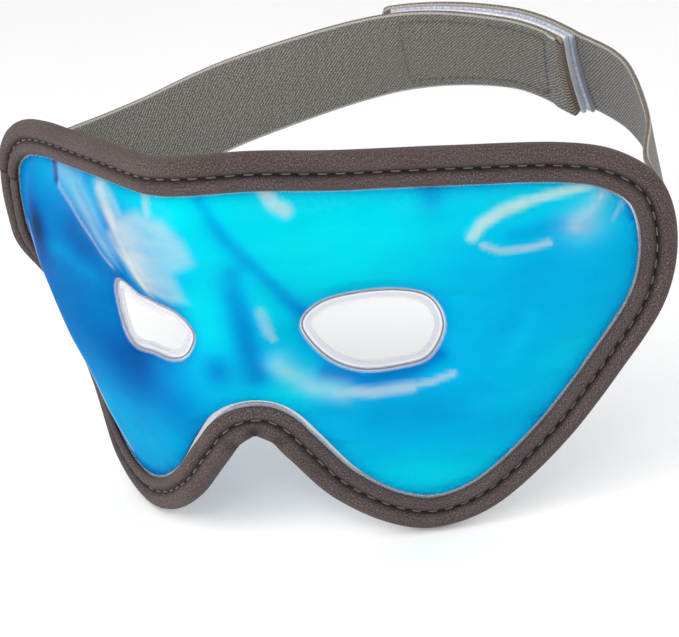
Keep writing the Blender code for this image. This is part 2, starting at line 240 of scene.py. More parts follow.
def gel_pool(uv):
    """How much further the front swells where the gel has sunk, next to the rolled edge."""
    across, along = low_edge(uv)
    return POOL_HEIGHT * np.exp(-((across - POOL_AT[0]) / POOL_REACH[0]) ** 2
                                - ((along - POOL_AT[1]) / POOL_REACH[1]) ** 2)


def mask_points(uv, height):
    """Pattern points at heights off the mid surface, positive to the front."""
    across, along = low_edge(uv)
    share = smooth_step(along, *ROLL_ALONG_FROM) * (1 - ROLL_FADES * smooth_step(along, *ROLL_FADES_FROM))
    uv = uv + np.array(LOW_EDGE) * (share * ROLL_OUT * smooth_step(across, *ROLL_OUT_FROM))[:, None]
    height = height - share * ROLL_BACK * smooth_step(across, *ROLL_BACK_FROM)
    x, y, turn = plan_point(uv[:, 0])
    x0, y0, turn0 = plan_point(np.array(0.0))
    return np.stack([x - x0 + height * np.sin(turn) + SEAT_HEIGHT * math.sin(turn0),
                     y - y0 - height * np.cos(turn) - SEAT_HEIGHT * math.cos(turn0), uv[:, 1]], 1)


# ---------------------------------------------------------------- meshes
def new_object(name, verts, faces, material, uv=None, attributes=(), sharp=None):
    """A smooth-shaded mesh; uv is per vertex or per corner, attributes are one number per vertex."""
    mesh = bpy.data.meshes.new(name)
    mesh.from_pydata((np.asarray(verts) * MM).tolist(), [], faces)
    if uv is not None:
        layer = mesh.uv_layers.new(name='UVMap')
        corners = np.zeros(len(mesh.loops), int)
        mesh.loops.foreach_get('vertex_index', corners)
        flat = np.asarray(uv)[corners] if len(uv) == len(mesh.vertices) else np.asarray(uv)
        layer.data.foreach_set('uv', flat.astype(np.float32).ravel())
    for key, values in dict(attributes).items():
        made = mesh.attributes.new(key, 'FLOAT', 'POINT')
        made.data.foreach_set('value', np.asarray(values, np.float32))
    mesh.shade_smooth()
    if sharp:
        mesh.set_sharp_from_angle(angle=math.radians(sharp))
    obj = bpy.data.objects.new(name, mesh)
    mesh.materials.append(material)
    bpy.context.scene.collection.objects.link(obj)
    return obj


def strip_faces(rows, columns, closed_rows=False, closed_columns=False, caps=False):
    """Quads over a grid of points; a closed column count makes a tube, which caps close."""
    faces = []
    for i in range(rows if closed_rows else rows - 1):
        for j in range(columns if closed_columns else columns - 1):
            a, b = i * columns + j, i * columns + (j + 1) % columns
            c, d = ((i + 1) % rows) * columns + (j + 1) % columns, ((i + 1) % rows) * columns + j
            faces.append((a, b, c, d))
    if caps:
        faces.append(tuple(range(columns))[::-1])
        faces.append(tuple(range((rows - 1) * columns, rows * columns)))
    return faces


def tubes(name, paths, radius, material, sides=7):
    """Short round threads laid along the paths, each ending in a rounded tip, as one piece."""
    verts, faces, uv = [], [], []
    for path in paths:
        path = np.asarray(path, float)
        n = len(path)
        along = np.gradient(path, axis=0)
        along /= np.linalg.norm(along, axis=1)[:, None]
        side = np.cross(along, [0.13, 0.21, 0.97])
        side /= np.linalg.norm(side, axis=1)[:, None]
        other = np.cross(along, side)
        ends = np.minimum(np.arange(n), np.arange(n)[::-1])
        size = radius * np.where(ends == 0, 0.45, 1.0)
        first = len(verts)
        run = np.concatenate([[0], np.cumsum(np.linalg.norm(np.diff(path, axis=0), axis=1))])
        for i in range(n):
            for k in range(sides):
                a = 2 * math.pi * k / sides
                verts.append(path[i] + (side[i] * math.cos(a) + other[i] * math.sin(a)) * size[i])
                uv.append((run[i], k * 2 * math.pi * radius / sides))
        thread = strip_faces(n, sides, closed_columns=True, caps=True)
        faces += [tuple(first + v for v in face) for face in thread]
    return new_object(name, verts, faces, material, uv)


# ---------------------------------------------------------------- materials
def node(tree, kind, inputs=(), **settings):
    made = tree.nodes.new(kind)
    for key, value in settings.items():
        setattr(made, key, value)
    for key, value in dict(inputs).items():
        if isinstance(value, bpy.types.NodeSocket):
            tree.links.new(value, made.inputs[key])
        else:
            made.inputs[key].default_value = value
    return made


def srgb(red, green, blue):
    """A colour given as 0 to 255 on screen, as the shader needs it."""
    return tuple(((c / 255 + 0.055) / 1.055) ** 2.4 if c > 10 else c / 255 / 12.92
                 for c in (red, green, blue)) + (1.0,)


def new_material(name, **fixed):
    made = bpy.data.materials.new(name)
    made.use_nodes = True
    tree = made.node_tree
    shader = tree.nodes['Principled BSDF']
    for key, value in fixed.items():
        shader.inputs[key.replace('_', ' ')].default_value = value
    return made, tree, shader


def ramp(tree, value, stops, interpolation='LINEAR'):
    made = node(tree, 'ShaderNodeValToRGB', {0: value})
    made.color_ramp.interpolation = interpolation
    elements = made.color_ramp.elements
    while len(elements) > 1:
        elements.remove(elements[-1])
    elements[0].position, elements[0].color = stops[0]
    for place, colour in stops[1:]:
        elements.new(place).color = colour
    return made.outputs['Color']


def grey(value):
    return (value, value, value, 1.0)


def maths(tree, operation, a, b=0.0, c=0.0, clamp=False):
    made = node(tree, 'ShaderNodeMath', {0: a, 1: b, 2: c}, operation=operation, use_clamp=clamp)
    return made.outputs[0]


def remap(tree, value, low, high, to_low=0.0, to_high=1.0):
    made = node(tree, 'ShaderNodeMapRange', {0: value, 1: low, 2: high, 3: to_low, 4: to_high})
    made.interpolation_type = 'SMOOTHSTEP'
    return made.outputs[0]


def mix(tree, factor, a, b, kind='MIX'):
    made = node(tree, 'ShaderNodeMix', data_type='RGBA', blend_type=kind)
    for socket, value in ((made.inputs[0], factor), (made.inputs[6], a), (made.inputs[7], b)):
        if isinstance(value, bpy.types.NodeSocket):
            tree.links.new(value, socket)
        else:
            socket.default_value = value
    return made.outputs[2]


def uv_of(tree, scale=(1, 1, 1), angle=0.0):
    """Surface coordinates in millimetres, scaled and turned."""
    flat = node(tree, 'ShaderNodeUVMap', uv_map='UVMap').outputs[0]
    turn = (0, 0, math.radians(angle))
    return node(tree, 'ShaderNodeMapping', {0: flat, 'Scale': scale, 'Rotation': turn}).outputs[0]


def texture(tree, kind, vector, output='Fac', **inputs):
    """A value of a procedural texture; an input's name has its spaces as underscores."""
    values = {key.replace('_', ' '): value for key, value in inputs.items()}
    return node(tree, 'ShaderNodeTex' + kind, {'Vector': vector, **values}).outputs[output]


def attribute(tree, name):
    return node(tree, 'ShaderNodeAttribute', attribute_name=name).outputs['Fac']


def bump(tree, shader, height, distance, strength=1.0, before=None):
    inputs = {'Height': height, 'Distance': distance * MM, 'Strength': strength}
    if before is not None:
        inputs['Normal'] = before
    made = node(tree, 'ShaderNodeBump', inputs)
    tree.links.new(made.outputs[0], shader.inputs['Normal'])
    return made.outputs[0]


def gel_material():
    """Blue gel behind glossy film: deeper and paler tints, partly painted light and shade, and painted
    highlight streaks.
    """
    made, tree, shader = new_material('blue_gel', Roughness=0.45, Coat_Weight=0.1, Coat_Roughness=0.04,
                                      Coat_IOR=1.35, IOR=1.2, Specular_IOR_Level=0.0)
    cloud = texture(tree, 'Noise', uv_of(tree, (0.045, 0.06, 1)), Scale=1.0, Detail=2.0, Distortion=0.8)
    shade = maths(tree, 'ADD', attribute(tree, 'tint'),
                  maths(tree, 'MULTIPLY', maths(tree, 'SUBTRACT', cloud, 0.5), 0.14))
    colour = ramp(tree, shade, GEL_SHADES)
    wisps = texture(tree, 'Noise', uv_of(tree, (0.05, 0.16, 1), 28), Scale=1.0, Detail=3.0, Distortion=0.5)
    # Painted highlight: pale streaks and fields mixed into the colour where glossy film would shine, broken up
    # by wisps.
    painted_highlight = maths(tree, 'MULTIPLY', attribute(tree, 'painted_highlight'), remap(tree, wisps, 0.3, 0.65, 0.72, 1.08))
    colour = mix(tree, maths(tree, 'MINIMUM', painted_highlight, 1.0), colour, PAINTED_HIGHLIGHT_COLOUR)
    tree.links.new(colour, shader.inputs['Base Color'])
    waves = texture(tree, 'Noise', uv_of(tree, (0.05, 0.12, 1), -20), Scale=1.0, Detail=1.0)
    puckers = texture(tree, 'Noise', uv_of(tree, (0.5, 0.5, 1)), Scale=1.0, Detail=1.0)
    near_weld = remap(tree, attribute(tree, 'weld_distance'), 1.0, 7.0, 0.35, 0.0)
    relief = maths(tree, 'ADD', waves, maths(tree, 'MULTIPLY', puckers, near_weld))
    bump(tree, shader, relief, 2.2, 1.0)
    return made


def film_material():
    """Clear film: unseen over the gel and frosted where it is welded, with a pale rim round an eye opening
    and a painted shadow line outside that rim, where the gel rises from the weld."""
    made, tree, shader = new_material('clear_film', Roughness=0.2, Coat_Weight=0.5, Coat_Roughness=0.05)
    eye = attribute(tree, 'eye_distance')
    weld = attribute(tree, 'weld_distance')
    over_gel = maths(tree, 'MULTIPLY', remap(tree, eye, WELD_FLANGE + 0.1, WELD_FLANGE + 0.9),
                     remap(tree, weld, 0.0, 0.35))
    rim = remap(tree, eye, 1.2, 1.8, 1.0, 0.0)
    # Painted shadow: a dark line where the gel rises from an eye's weld, outside the pale rim.
    line = maths(tree, 'MULTIPLY', remap(tree, eye, 1.95, 2.2), remap(tree, eye, 2.3, 2.55, 1.0, 0.0))
    speck = texture(tree, 'Noise', uv_of(tree), Scale=1.6, Detail=3.0)
    frosted = maths(tree, 'MULTIPLY_ADD', speck, 0.16, 0.14)
    opaque = maths(tree, 'MAXIMUM', maths(tree, 'MULTIPLY', rim, 0.34), frosted)
    opaque = maths(tree, 'MAXIMUM', opaque, maths(tree, 'MULTIPLY', line, 0.85))
    opaque = maths(tree, 'MULTIPLY', opaque, maths(tree, 'SUBTRACT', 1.0, over_gel))
    tree.links.new(opaque, shader.inputs['Alpha'])
    colour = mix(tree, rim, srgb(226, 232, 240), srgb(204, 203, 211))
    colour = mix(tree, line, colour, srgb(40, 54, 74))
    tree.links.new(colour, shader.inputs['Base Color'])
    bump(tree, shader, speck, 0.08, 0.4)
    return made


def knit_material():
    """Brushed knit of the binding: a fine slanting rib under a fuzz, with painted shade in its groove, at the
    join of its ends and in its folds at the nose notch.
    """
    made, tree, shader = new_material('binding_fabric', Roughness=0.95, Sheen_Weight=0.22, Sheen_Roughness=0.5,
                                      Specular_IOR_Level=0.08, Sheen_Tint=srgb(176, 160, 156))
    ribs = texture(tree, 'Wave', uv_of(tree, (1, 1, 1), 52), Scale=0.7, Distortion=1.5, Detail=2.0,
                   Detail_Scale=2.5)
    fuzz = texture(tree, 'Noise', uv_of(tree, (3.0, 2.1, 1)), Scale=1.0, Detail=3.0, Roughness=0.6)
    patch = texture(tree, 'Noise', uv_of(tree, (0.06, 0.12, 1)), Scale=1.0, Detail=2.0)
    height = maths(tree, 'ADD', maths(tree, 'MULTIPLY', ribs, 0.1), fuzz)
    shade = maths(tree, 'ADD', maths(tree, 'MULTIPLY', height, 0.75), maths(tree, 'MULTIPLY', patch, 0.1))
    stops = [(0.28, srgb(28, 24, 24)), (0.5, srgb(80, 70, 69)), (0.78, srgb(160, 147, 143))]
    colour = ramp(tree, shade, stops)
    groove = attribute(tree, 'groove')
    # Painted shade: the groove attribute darkens the knit towards near black in the seam's groove, at the join
    # and in the notch folds.
    colour = mix(tree, maths(tree, 'MULTIPLY', groove, 0.85), colour, srgb(16, 13, 14))
    tree.links.new(colour, shader.inputs['Base Color'])
    bump(tree, shader, height, 0.3, 1.0)
    return made


def thread_material(name, low, high):
    """Twisted sewing thread."""
    made, tree, shader = new_material(name, Roughness=0.6, Sheen_Weight=0.3)
    twist = texture(tree, 'Wave', uv_of(tree, (1, 1, 1), 35), Scale=1.1, Distortion=0.6)
    tree.links.new(ramp(tree, twist, [(0.1, low), (0.9, high)]), shader.inputs['Base Color'])
    bump(tree, shader, twist, 0.12, 0.8)
    return made


def elastic_material(name):
    """Woven elastic: yarns crossing on the slant, between thin pale selvedges with a brown core, and
    overcast at a hemmed end."""
    made, tree, shader = new_material(name, Roughness=0.85, Sheen_Weight=0.15, Sheen_Roughness=0.5,
                                      Specular_IOR_Level=0.15)
    twill = texture(tree, 'Wave', uv_of(tree, (1, 1, 1), 48), Scale=0.40, Distortion=3.2, Detail=3.0,
                    Detail_Scale=3.0)
    fleck = texture(tree, 'Noise', uv_of(tree, (1.0, 1.7, 1), 20), Scale=1.5, Detail=4.0, Roughness=0.8)
    height = maths(tree, 'ADD', maths(tree, 'MULTIPLY', twill, 0.20), fleck)
    stops = [(0.36, srgb(48, 44, 40)), (0.59, srgb(106, 101, 95)), (0.82, srgb(180, 174, 166))]
    colour = ramp(tree, height, stops)
    edge = attribute(tree, 'edge')
    pale = maths(tree, 'MULTIPLY', remap(tree, edge, 0.12, 0.3), remap(tree, edge, 0.65, 1.0, 1.0, 0.0))
    colour = mix(tree, maths(tree, 'MULTIPLY', pale, 0.6), colour, srgb(206, 198, 184))
    core = remap(tree, edge, 0.04, 0.2, 0.7, 0.0)
    colour = mix(tree, core, colour, srgb(104, 92, 82))
    ribs = texture(tree, 'Wave', uv_of(tree, (1, 1, 1), 90), Scale=0.3, Distortion=0.8)
    overcast = ramp(tree, ribs, [(0.25, srgb(62, 52, 44)), (0.75, srgb(150, 136, 118))])
    colour = mix(tree, remap(tree, attribute(tree, 'from_end'), 1.9, 2.2, 1.0, 0.0), colour, overcast)
    tree.links.new(colour, shader.inputs['Base Color'])
    bump(tree, shader, height, 0.3, 0.9)
    return made


def tape_material(name, colour_low, colour_high, scale, depth):
    """Hook or loop tape: a dense field of tiny hooks or loops."""
    made, tree, shader = new_material(name, Roughness=0.8, Sheen_Weight=0.4, Sheen_Roughness=0.4)
    cells = texture(tree, 'Voronoi', uv_of(tree), 'Distance', Scale=scale, Randomness=0.8)
    fuzz = texture(tree, 'Noise', uv_of(tree), Scale=scale * 1.7, Detail=3.0)
    height = maths(tree, 'ADD', maths(tree, 'MULTIPLY', cells, -0.7), fuzz)
    shade = maths(tree, 'ADD', height, 0.3)
    tree.links.new(ramp(tree, shade, [(0.2, colour_low), (0.8, colour_high)]), shader.inputs['Base Color'])
    bump(tree, shader, height, depth, 0.9)
    return made


# ---------------------------------------------------------------- gel pack
# The gel from its palest tint, 0, to its deepest, 1, and the colour of the painted highlights
GEL_SHADES = [(0.0, srgb(0, 190, 202)), (0.2, srgb(0, 178, 198)), (0.4, srgb(0, 148, 192)),
              (0.6, srgb(0, 112, 174)), (0.8, srgb(0, 76, 146)), (1.0, srgb(0, 44, 82))]
PAINTED_HIGHLIGHT_COLOUR = srgb(182, 187, 182)
BASE_TINT, REAR_TINT = 0.36, 0.42
RIGHT_WING_SHADE = 0.20          # painted shade, added over the wearer's right wing
# Painted shade deepening the tint where the pack dips to a weld, and how far in it reaches
WELD_SHADE, WELD_SHADE_REACH = 0.18, 1.8
# Creases and swellings of the front: points on the pattern, half width, height off the gel, what each adds to
# the tint, as painted shade in a crease and painted light on a swelling, and how much painted highlight it
# gives
FOLDS = [
    ([(-7, 43), (-1, 33), (5, 25), (11, 17), (15, 11)], 2.0, -0.9, 0.26, 0.0),
    ([(-13, 40), (-6, 30), (-1, 22), (7, 14), (12, 8)], 2.6, 0.5, -0.06, 0.0),
    ([(-1, 24), (0, 14), (1, 4), (2.5, -6)], 3.2, -0.9, 0.26, 0.0),
    ([(5, 13), (6.5, 7)], 1.5, 0.3, 0.0, 0.3),
    ([(6, 9), (7.5, 5)], 1.0, 0.2, 0.0, 0.35),
    ([(8, -2), (11, -6), (17, -10.5), (24, -13)], 2.6, 0.8, -0.05, 0.34),
    ([(22, -12.5), (32, -14.2), (42, -13.8)], 1.5, 0.7, 0.0, 0.46),
    ([(40, -13.8), (47, -13), (53, -11)], 0.9, 0.5, 0.0, 0.4),
    ([(20, -7), (30, -11), (42, -10), (50, -6)], 2.2, -0.5, 0.22, 0.0),
    ([(59.5, 27), (62, 30), (67, 32.5), (73, 34)], 1.5, 0.8, -0.1, 0.62),
    ([(70, 33.4), (79, 35), (88, 35.8), (95, 37)], 1.1, 0.6, -0.1, 0.62),
    ([(62, 24.5), (66, 22.6), (72, 22.2), (79, 23)], 0.9, 0.5, 0.0, 0.5),
    ([(86, 27), (91, 31), (96, 36.5)], 2.2, 0.5, 0.0, 0.30),
    ([(90, 30), (94, 34), (98, 38)], 0.8, 0.5, 0.0, 0.45),
    ([(96, 27), (99, 31), (99.5, 36)], 0.7, 0.4, 0.0, 0.22),
    ([(70, 26), (80, 27), (88, 27)], 2.2, -0.5, 0.10, 0.0),
    ([(101, 26), (100, 33), (97, 38)], 1.0, -0.5, 0.16, 0.0),
    ([(60, -22), (75, -14), (88, -4)], 5.0, 0.4, -0.05, 0.0),
    ([(74, 4), (68, -8)], 2.5, 0.3, -0.05, 0.0),
    ([(-75.5, 40), (-74, 37), (-73, 34)], 1.6, -0.9, 0.42, 0.0),
    ([(-71, 38), (-60, 35), (-50, 29), (-43, 22)], 3.8, 0.7, -0.12, 0.28),
    ([(-71, 33), (-62, 30), (-52, 23), (-46, 16)], 0.9, 0.5, 0.0, 0.38),
    ([(-60, 36), (-51, 31), (-43, 24), (-38, 17)], 0.8, -0.5, 0.16, 0.0),
    ([(-47, 38), (-39, 32), (-32, 24), (-28, 16)], 2.8, 0.5, 0.0, 0.78),
    ([(-56, 38), (-46, 33), (-38, 26)], 1.6, -0.4, 0.08, 0.0),
    ([(-46, 40), (-38, 36), (-30, 31)], 1.2, 0.3, 0.0, 0.35),
    ([(-24, 44), (-22, 38)], 1.6, 0.3, 0.0, 0.4),
    ([(9, 45), (11, 41), (14, 39)], 1.8, 0.4, 0.0, 0.5),
    ([(-96, 14), (-90, 2), (-77, -13), (-65, -28), (-52, -43)], 1.2, 0.0, 0.0, 0.5),
    ([(-85, 12), (-70, 14), (-58, 10)], 3.0, 0.2, -0.10, 0.0),
]
# Soft patches of gel colour and of painted light and shade: centre on the pattern, radii, tint and painted
# highlight
PATCHES = [
    ((-60, 20), (12, 9), 0.20, 0.0), ((-38, -12), (20, 9), 0.26, 0.0), ((-86, 16), (7, 9), 0.46, 0.0),
    ((-74, -2), (26, 16), 0.16, 0.0), ((-84, 37), (14, 5), -0.16, 0.0), ((-50, -34), (24, 11), -0.12, 0.0),
    ((-18, -22), (8, 10), 0.12, 0.0), ((24, 30), (30, 16), -0.30, 0.0), ((-9, 8), (6, 14), -0.18, 0.0),
    ((-7, -3), (4, 5), 0.30, 0.0), ((8, -12), (10, 8), -0.16, 0.0), ((74, 12), (22, 16), 0.06, 0.0),
    ((48, -24), (26, 8), 0.08, 0.0), ((46, -42), (26, 8), -0.16, 0.0), ((84, 38), (24, 9), -0.18, 0.0),
    ((-22, 42), (26, 6), -0.30, 0.0), ((-50, 38), (14, 6), -0.18, 0.0), ((-30, 22), (5, 7), 0.0, 0.25),
    ((50, 40), (3.5, 6), 0.2, 0.0), ((88, 27), (5, 4), 0.0, 0.26), ((30, -18), (24, 7), 0.06, 0.0),
]
# The field of painted highlight between the wearer's right eye and the brow
PAINTED_HIGHLIGHT_FIELD = [(-44, 27), (-37, 34), (-27, 38), (-16, 38), (-10, 33), (-8, 27), (-14, 23), (-12, 15), (-18, 13),
              (-28, 14), (-34, 19)]


def smooth_values(values, edges, moving, rounds):
    """Each moving value drawn towards the mean of its neighbours."""
    count = np.bincount(edges.ravel(), minlength=len(values))
    for _ in range(rounds):
        total = np.bincount(edges[:, 0], values[edges[:, 1]], len(values))
        total += np.bincount(edges[:, 1], values[edges[:, 0]], len(values))
        values = np.where(moving, 0.4 * values + 0.6 * total / np.maximum(count, 1), values)
    return values


def along_fold(line, uv, width):
    """1 on the line and 0 away from it; a wide fold fades softly and a narrow one has clearer sides."""
    line = np.array(line, float)
    return np.exp(-(distance_to(line, uv, closed=False) / width) ** (2 if width > 1.8 else 4))


def gel_margin():
    """Clear margin between the outer weld and the gel: wider over the nose notch and at the far right."""
    u, v = OUTLINE[:, 0], OUTLINE[:, 1]
    over_notch = np.exp(-((u - 2) / 20.0) ** 2) * (v < 0)
    far_right = np.exp(-((u - 104) / 12.0) ** 2 - ((v + 4) / 16.0) ** 2)
    return 0.05 + 1.0 * over_notch + 0.2 * far_right


def pattern_triangles():
    """The films' area as pattern points and triangles, which triangles hold gel, and the outer weld line."""
    weld = inset(OUTLINE, WELD_INSET)
    gel = inset(OUTLINE, WELD_INSET + gel_margin())
    rings = [inset(OUTLINE, FILM_INSET), weld, gel]
    for eye in EYES:
        rings += [inset(eye, -distance) for distance in RIM_RINGS]
    points, edges = [], []
    for ring in rings:
        first = len(points)
        points += [Vector(p) for p in ring]
        edges += [(first + i, first + (i + 1) % len(ring)) for i in range(len(ring))]
    wide, high = PATTERN_REACH
    u, v = np.meshgrid(np.arange(-wide, wide, GRID), np.arange(-high, high, GRID * 0.866))
    u[1::2] += GRID / 2          # rows of even triangles
    grid = np.stack([u.ravel(), v.ravel()], 1)
    grid = grid[is_inside(rings[0], grid)]
    eye_clear = np.minimum(*(distance_to(eye, grid) for eye in EYES))
    outside = ~(is_inside(EYES[0], grid) | is_inside(EYES[1], grid))
    near = np.minimum.reduce([distance_to(ring, grid) for ring in rings[:3]])
    grid = grid[outside & (near > 0.5 * GRID) & (eye_clear > RIM_RINGS[-1] + 0.5 * GRID)]
    points += [Vector(p) for p in grid]
    points, _, faces, *_ = delaunay_2d_cdt(points, edges, [], 0, 0.0005)
    uv = np.array([tuple(p) for p in points])
    faces = np.array([f for f in faces if len(f) == 3])
    centre = uv[faces].mean(1)
    in_film = is_inside(rings[0], centre) & ~is_inside(EYES[0], centre) & ~is_inside(EYES[1], centre)
    faces, centre = faces[in_film], centre[in_film]
    in_gel = is_inside(gel, centre)
    for eye in EYES:
        in_gel &= ~is_inside(inset(eye, -RIM_RINGS[-1]), centre)
    return uv, faces, in_gel, weld


def triangle_edges(faces):
    return np.vstack([faces[:, [0, 1]], faces[:, [1, 2]], faces[:, [2, 0]]])


def closed_sheet(name, uv, faces, front, back, material, attributes, rear=()):
    """A closed sheet over the pattern's triangles, between a front and a back height; rear holds the
    attributes that differ on the back."""
    used = np.unique(faces)
    renumber = np.full(len(uv), -1)
    renumber[used] = np.arange(len(used))
    uv, front, back, faces = uv[used], front[used], back[used], renumber[faces]
    n = len(used)
    verts = np.vstack([mask_points(uv, front), mask_points(uv, back)])
    have = {tuple(e) for e in triangle_edges(faces).tolist()}
    border = [(i, j) for i, j in have if (j, i) not in have]
    out = faces.tolist() + (faces[:, ::-1] + n).tolist()
    out += [(j, i, i + n, j + n) for i, j in sorted(border)]
    behind = {**attributes, **dict(rear)}
    both = {key: np.concatenate([attributes[key][used], behind[key][used]]) for key in attributes}
    return new_object(name, verts, out, material, np.vstack([uv, uv]), both, sharp=50)


def pattern_noise(uv, across, up, seed):
    return np.array([noise.noise(Vector((u * across, v * up, seed))) for u, v in uv])


def make_gel_pack():
    uv, faces, in_gel, weld = pattern_triangles()
    edges = np.unique(np.sort(triangle_edges(faces), 1), axis=0)
    weld_distance = distance_to(weld, uv) * np.where(is_inside(weld, uv), 1, -1)
    eye_distance = np.minimum(*(distance_to(eye, uv) for eye in EYES))
    inside = np.clip(np.minimum(weld_distance, eye_distance - WELD_FLANGE), 0, None)
    moving = inside > 0.01
    swell = smooth_values(GEL_HALF * (1 - np.exp(-inside / GEL_RISE)), edges, moving, SWELL_ROUNDS)
    full = 1 - np.exp(-inside / WAVE_RISE)
    ripple = pattern_noise(uv, 0.12, 0.09, 7.7)
    front = swell + (1 - np.exp(-inside / POOL_RISE)) * gel_pool(uv)
    front += full * (WAVE * pattern_noise(uv, 0.045, 0.06, 3.1) + RIPPLE * ripple)
    # Painted shade deepens the tint over the wearer's right wing.
    tint = BASE_TINT + RIGHT_WING_SHADE * np.clip((-uv[:, 0] - 10) / 30, 0, 1)
    field = np.array(PAINTED_HIGHLIGHT_FIELD, float)
    depth_in_field = distance_to(field, uv) * np.where(is_inside(field, uv), 1, -1)
    # Painted highlight: a pale field mixed into the gel's colour.
    painted_highlight = smooth_step(depth_in_field, -0.8, 3.6) * (0.40 + 0.16 * smooth_step(-uv[:, 0], 14, 16))
    # Creases get painted shade and swellings painted light in the tint; some folds add painted highlight
    # streaks.
    for line, width, height, shade, highlight_share in FOLDS:
        near = along_fold(line, uv, width)
        front += full * height * near
        tint += shade * near
        painted_highlight = np.maximum(painted_highlight, highlight_share * near)
    # Patches add gel colour variation together with painted light and shade, and some painted highlight.
    for (centre_u, centre_v), (reach_u, reach_v), shade, highlight_share in PATCHES:
        near = np.exp(-((uv[:, 0] - centre_u) / reach_u) ** 2 - ((uv[:, 1] - centre_v) / reach_v) ** 2)
        tint += shade * near
        painted_highlight += highlight_share * near
    # Painted shade next to the welds.
    tint += WELD_SHADE * np.exp(-inside / WELD_SHADE_REACH)
    front = smooth_values(np.maximum(front, 0), edges, moving, 3)
    back = smooth_values(np.maximum(swell + full * REAR_RIPPLE * ripple, 0), edges, moving, 4)
    outer = FILM + FILM_GAP + BEAD * np.exp(-(eye_distance / BEAD_REACH) ** 2)
    attributes = {'tint': tint, 'painted_highlight': painted_highlight, 'eye_distance': eye_distance, 'weld_distance': weld_distance}
    # The back has fainter patches, and almost no painted highlight.
    plain = {'tint': REAR_TINT + 0.5 * (tint - REAR_TINT) * (painted_highlight < 0.1), 'painted_highlight': 0.15 * painted_highlight}
    clear, blue = film_material(), gel_material()
    front_film = closed_sheet('front_film_sheet', uv, faces, front + outer, front + FILM_GAP, clear, attributes)
    rear_film = closed_sheet('rear_film_sheet', uv, faces, -back - FILM_GAP, -back - outer, clear, attributes)
    gel = closed_sheet('gel_filling', uv, faces[in_gel], front + GEL_SKIN, -back - GEL_SKIN, blue, attributes,
                       plain)
    for piece, cad, slot in ((front_film, 'front_film', 'clear_film'), (rear_film, 'rear_film', 'clear_film'),
                             (gel, 'gel_fill', 'blue_gel')):
        place(piece, cad, slot, 'mask')


def place(piece, cad, slot, body=None, bend=None):
    """The piece stands for its CAD node, which it hides, and rides on a body; given a bend, it is only fixed
    where it stands.
    """
    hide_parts(cad)
    if bend:
        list(bend)
        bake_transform(piece)
    else:
        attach(piece, body)


# ---------------------------------------------------------------- binding
# Half of the folded section: distance in from the free edge, height, how deep in the groove, which also sets
# the painted shade there
BINDING_HALF = [(-0.3, 0.0, 0), (-0.2, 0.9, 0), (0.2, 1.7, 0), (0.9, 2.4, 0), (1.8, 2.8, 0), (2.8, 2.85, 0),
                (3.7, 2.5, 0), (4.3, 2.0, 0.3), (4.75, 1.5, 0.8), (5.0, 1.2, 1), (5.2, 1.1, 1),
                (5.4, 1.2, 1), (5.65, 1.5, 0.8), (6.1, 1.95, 0.3), (6.8, 2.35, 0), (7.6, 2.5, 0),
                (8.4, 2.35, 0), (9.0, 1.95, 0), (9.4, 1.4, 0.2), (9.35, 0.95, 0.6), (7.0, 0.85, 1),
                (3.0, 0.85, 1)]
STITCH_PITCH = 4.5
STITCH_LENGTH = 2.9
JOIN_POINT = (-106.0, 27.0)     # where the two ends of the binding overlap
JOIN_STEP = 0.45
NOTCH_FOLDS_PITCH = 4.8         # folds of the binding where it turns round the top of the nose notch
NOTCH_FOLDS_DEPTH = 1.7
NOTCH_FOLDS_REACH = 7.0
DIMPLE = 0.16                   # height of the swelling between two stitches
LUMP = 0.22


def arc_lengths(loop):
    return np.concatenate([[0], np.cumsum(np.linalg.norm(np.roll(loop, -1, 0) - loop, axis=1))])


